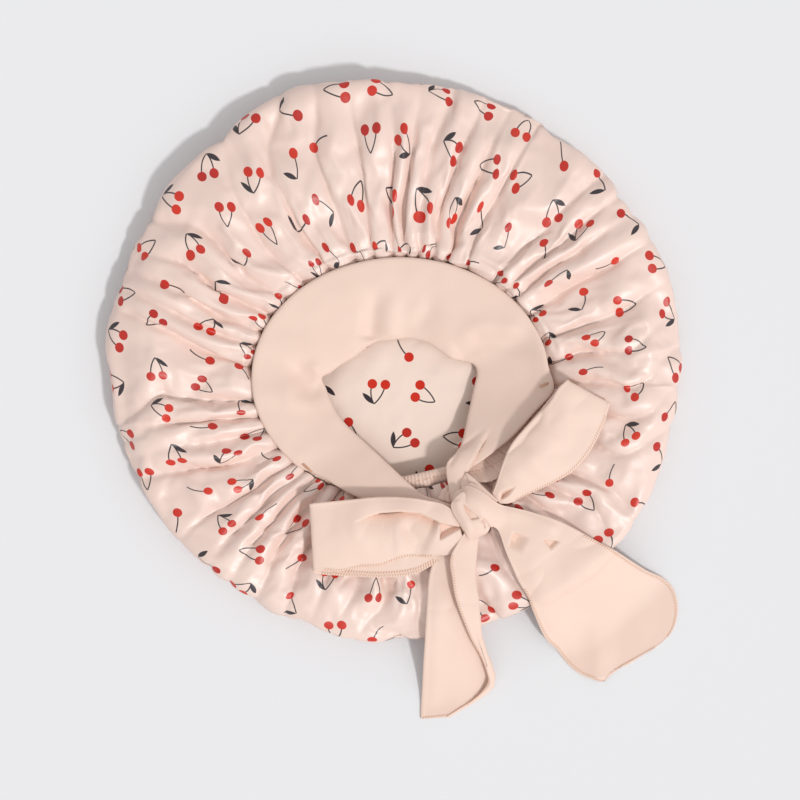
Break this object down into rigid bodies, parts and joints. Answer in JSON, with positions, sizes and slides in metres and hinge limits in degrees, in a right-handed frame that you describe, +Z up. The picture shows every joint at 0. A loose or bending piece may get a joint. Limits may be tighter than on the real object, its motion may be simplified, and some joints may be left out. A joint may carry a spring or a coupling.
{
  "type": "hair bonnet",
  "caption": "Satin sleep bonnet lying flat, opening up: gathered printed crown, wide folded band round the head opening, band ends tied in a bow at the back.",
  "frame": {"origin": "on the surface that the bonnet lies on, under the middle of the crown", "axes": "+Z up, out of the head opening; +Y to the front of the opening, away from the bow; +X to the right, seen from above"},
  "size_m": [0.3649, 0.4071, 0.045],
  "materials": {
    "printed_satin": "glossy satin with a small scattered cherry print",
    "lining_satin": "matt back of printed satin",
    "tie_cloth": "plain, softly lustrous satin crepe",
    "thread": "matt sewing thread",
    "knitted_elastic": "matt knit"
  },
  "bodies": {
    "bonnet": {"crown_base": "printed_satin", "crown_rim": "printed_satin", "crown_arch": "printed_satin", "crown_gathers": "printed_satin", "crown_lining": "lining_satin", "band_outer_ply": "tie_cloth", "band_inner_ply": "tie_cloth", "seam_allowance": "thread", "bar_tack_right": "thread", "bar_tack_left": "thread", "elastic_casing": "tie_cloth", "elastic_strip": "knitted_elastic", "casing_topstitch": "thread", "knot_core": "tie_cloth", "knot_wrap": "tie_cloth"},
    "left_loop": {"left_loop": "tie_cloth", "left_loop_stitching": "thread"},
    "right_loop": {"right_loop": "tie_cloth", "right_loop_stitching": "thread"},
    "left_tail": {"left_tail": "tie_cloth", "left_tail_stitching": "thread"},
    "right_tail": {"right_tail": "tie_cloth", "right_tail_stitching": "thread"}
  },
  "joints": [
    {"name": "left_loop_lift", "type": "hinge", "parent": "bonnet", "child": "left_loop", "pos_m": [0.03118, -0.10015, 0.03796], "axis": [-0.1305, 0.9914, 0], "range_deg": [0, 75]},
    {"name": "right_loop_lift", "type": "hinge", "parent": "bonnet", "child": "right_loop", "pos_m": [0.05812, -0.08753, 0.03796], "axis": [0.7431, -0.6691, 0], "range_deg": [0, 75]},
    {"name": "left_tail_lift", "type": "hinge", "parent": "bonnet", "child": "left_tail", "pos_m": [0.04011, -0.11319, 0.03796], "axis": [-0.999, 0.0436, 0], "range_deg": [0, 70]},
    {"name": "right_tail_lift", "type": "hinge", "parent": "bonnet", "child": "right_tail", "pos_m": [0.06151, -0.09754, 0.03796], "axis": [-0.6494, -0.7604, 0], "range_deg": [0, 70]}
  ]
}
